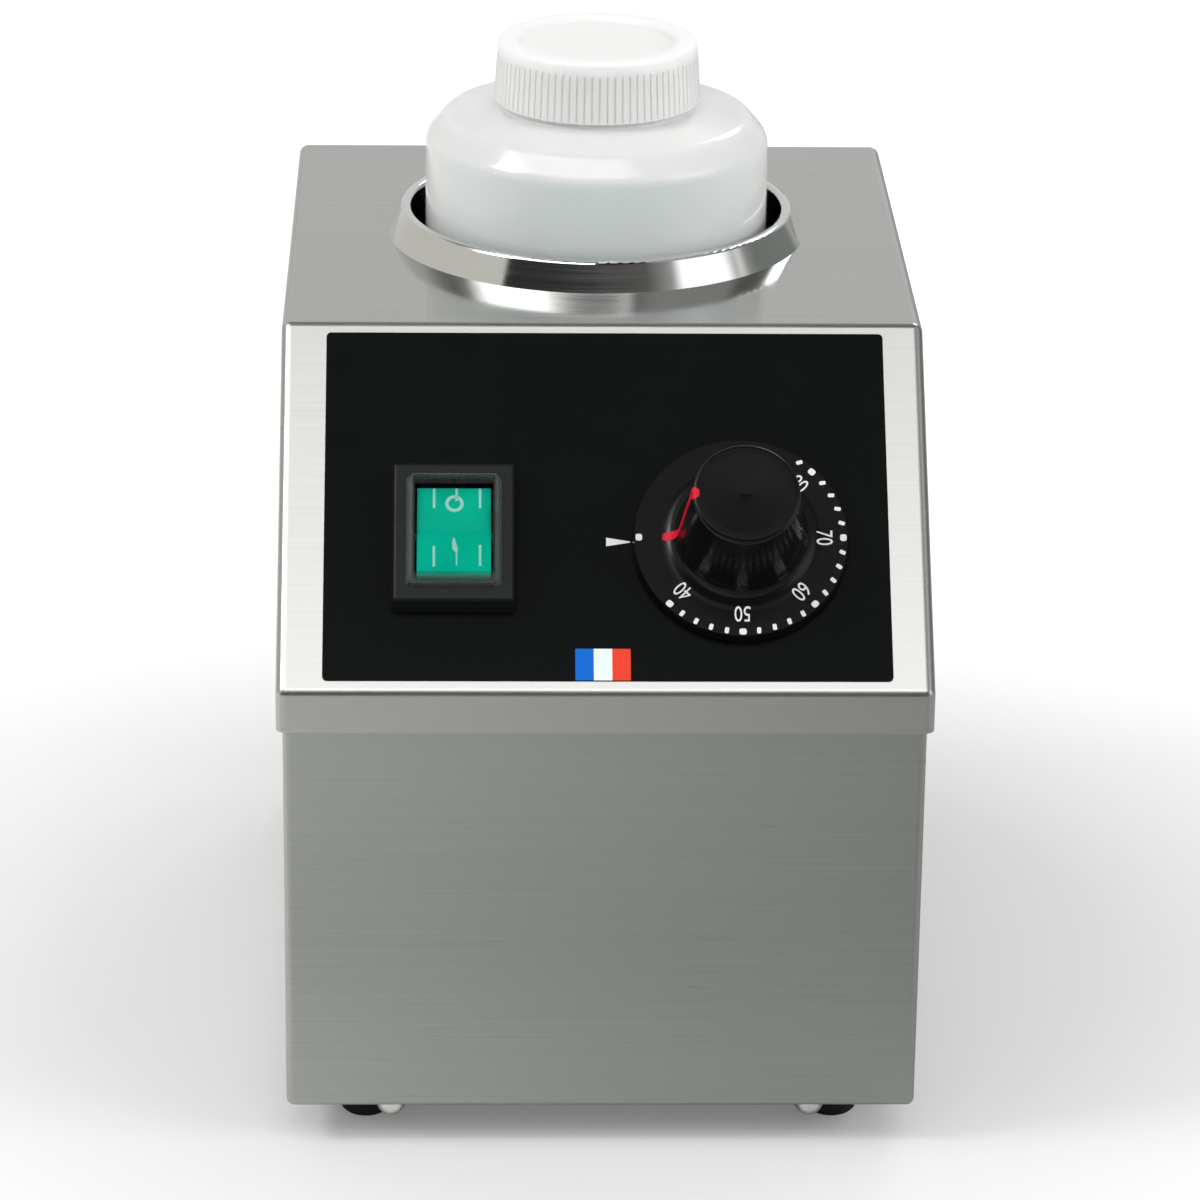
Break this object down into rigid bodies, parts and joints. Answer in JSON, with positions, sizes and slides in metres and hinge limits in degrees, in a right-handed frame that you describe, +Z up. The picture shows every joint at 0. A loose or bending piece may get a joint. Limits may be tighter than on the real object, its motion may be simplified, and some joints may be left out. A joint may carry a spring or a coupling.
{
  "type": "chocolate warmer",
  "caption": "Sheet-steel bench chocolate warmer: one bottle in a heated well, sloped control panel with rocker switch and dial knob, lower casing on rubber feet.",
  "frame": {"origin": "on the bench, under the middle of the whole outline", "axes": "+Z up, +Y to the back, +X to the right as seen from the front"},
  "size_m": [0.16, 0.2462, 0.2458],
  "materials": {
    "brushed_stainless": "fine straight brushed grain",
    "galvanised_sheet": "matt zinc-coated sheet",
    "polished_stainless": "mirror polished",
    "bright_steel": "bright plated",
    "black_rubber": "matt black",
    "red_silicone": "soft silicone",
    "heater_sheath": "dull sheath",
    "brass": "machined",
    "copper": "drawn copper",
    "glass_fibre": "woven glass blanket",
    "natural_polyethylene": "translucent blow-moulded",
    "white_polyethylene": "milky moulded",
    "liner_foam": "closed-cell foam",
    "black_overlay": "smooth dark film",
    "black_plastic": "moulded black",
    "knob_plastic": "satin black",
    "green_lens": "translucent green",
    "clear_plastic": "clear flexible"
  },
  "bodies": {
    "housing": {"band_heater": "heater_sheath", "base_dome_screws": "bright_steel", "base_nuts": "bright_steel", "base_plate": "galvanised_sheet", "block_screw": "bright_steel", "bulb_sleeve": "brushed_stainless", "collar_seal": "red_silicone", "control_label": "black_overlay", "cutout_strap": "brushed_stainless", "earth_nuts": "brass", "earth_stud": "brass", "foot_screws": "bright_steel", "gland_body": "black_plastic", "gland_dome_nut": "black_plastic", "gland_lock_nut": "black_plastic", "gland_seal": "black_rubber", "heater_clamp_nut": "bright_steel", "heater_clamp_screw": "bright_steel", "heater_terminals": "brass", "heating_well": "polished_stainless", "hood": "brushed_stainless", "insulation_jacket": "glass_fibre", "lower_casing": "brushed_stainless", "rear_nuts": "bright_steel", "rear_panel": "brushed_stainless", "rear_screws": "bright_steel", "rubber_feet": "black_rubber", "switch_frame": "black_plastic", "switch_splash_cover": "clear_plastic", "switch_terminals": "brass", "terminal_block": "white_polyethylene", "terminal_screws": "brass", "thermal_cutout": "black_plastic", "thermostat_body": "black_plastic", "thermostat_bulb": "copper", "thermostat_screws": "bright_steel"},
    "knob": {"thermostat_knob": "knob_plastic", "thermostat_spindle": "bright_steel"},
    "rocker": {"switch_rocker": "green_lens"},
    "bottle": {"bottle": "natural_polyethylene"},
    "cap_disc": {"cap_liner": "liner_foam"},
    "cap": {"bottle_cap": "white_polyethylene"}
  },
  "joints": [
    {"name": "knob_turn", "type": "hinge", "parent": "housing", "child": "knob", "pos_m": [0.0332, -0.09293, 0.15123], "axis": [0, 0.7071, -0.7071], "range_deg": [0, 234]},
    {"name": "rocker_tilt", "type": "hinge", "parent": "housing", "child": "rocker", "pos_m": [-0.0369, -0.09378, 0.15293], "axis": [1, 0, 0], "range_deg": [0, 12]},
    {"name": "bottle_lift", "type": "slide", "parent": "housing", "child": "bottle", "axis": [0, 0, 1], "range_m": [0, 0.2]},
    {"name": "cap_rise", "type": "slide", "parent": "bottle", "child": "cap_disc", "axis": [0, 0, 1], "range_m": [0, 0.0172]},
    {"name": "cap_turn", "type": "hinge", "parent": "cap_disc", "child": "cap", "pos_m": [0, 0.02814, 0.22995], "axis": [0, 0, 1], "range_deg": [0, 730]}
  ],
  "couplings": [
    {"joint": "cap_rise", "follows": "cap_turn", "m_per_rad": 0.0013369}
  ]
}
